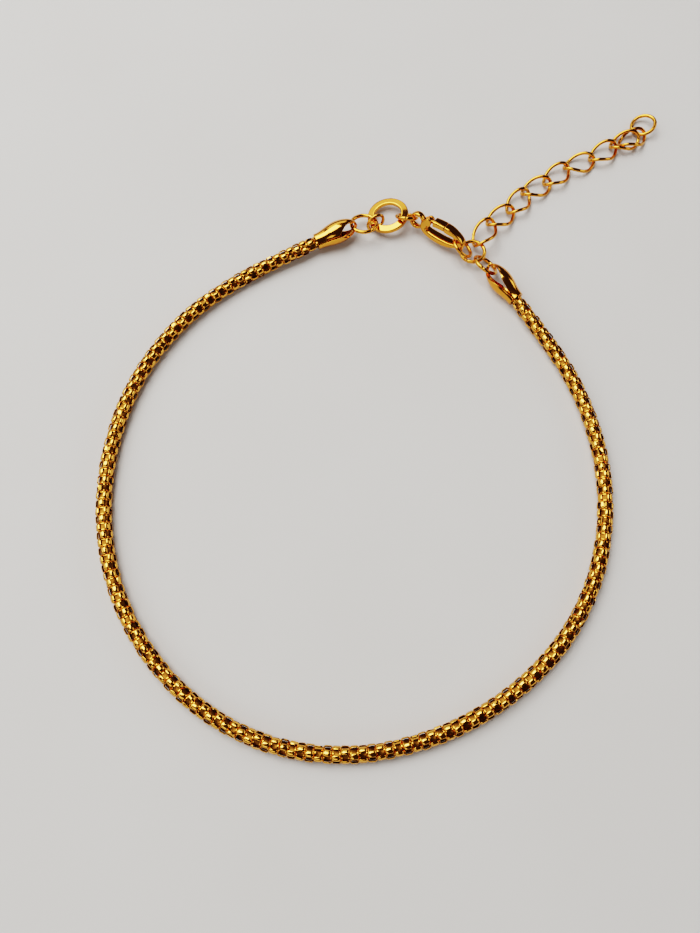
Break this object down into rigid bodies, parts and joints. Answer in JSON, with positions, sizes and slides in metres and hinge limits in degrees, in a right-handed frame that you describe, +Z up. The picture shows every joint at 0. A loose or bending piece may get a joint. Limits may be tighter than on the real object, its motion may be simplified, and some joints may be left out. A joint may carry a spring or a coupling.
{
  "type": "chain anklet",
  "caption": "Chain anklet: round mesh chain in folded end caps, lobster clasp, band ring and an open-link extension chain.",
  "frame": {"origin": "middle of the bottom of the bounding box", "axes": "+X to the wearer-side right of the loop as it lies, towards the extension chain; +Y across the loop towards the clasp; +Z up from the surface it lies on"},
  "size_m": [0.0878, 0.1028, 0.0043],
  "materials": {
    "main_chain": "polished",
    "clasp": "polished",
    "end_caps": "polished",
    "rings_and_links": "polished"
  },
  "bodies": {
    "root": {"band_ring": "rings_and_links", "cap_ring_left": "rings_and_links", "cap_ring_right": "rings_and_links", "clasp_body": "clasp", "clasp_pin": "clasp", "clasp_ring": "rings_and_links", "end_cap_left": "end_caps", "end_cap_right": "end_caps", "end_ring": "rings_and_links", "extension_link_1": "rings_and_links", "extension_link_2": "rings_and_links", "extension_link_3": "rings_and_links", "extension_link_4": "rings_and_links", "extension_link_5": "rings_and_links", "extension_link_6": "rings_and_links", "extension_link_7": "rings_and_links", "extension_link_8": "rings_and_links", "extension_link_9": "rings_and_links", "hooked_ring": "rings_and_links", "joining_ring": "rings_and_links", "main_chain": "main_chain", "small_ring": "rings_and_links"},
    "lever": {"clasp_lever": "clasp"}
  },
  "joints": [
    {"name": "lever_hinge", "type": "hinge", "parent": "root", "child": "lever", "pos_m": [0.00476, 0.02856, 0.00318], "axis": [0.5354, 0.7724, -0.3418], "range_deg": [0, 18], "stiffness_Nm_per_rad": 0.002, "springref_deg": -9.74}
  ]
}
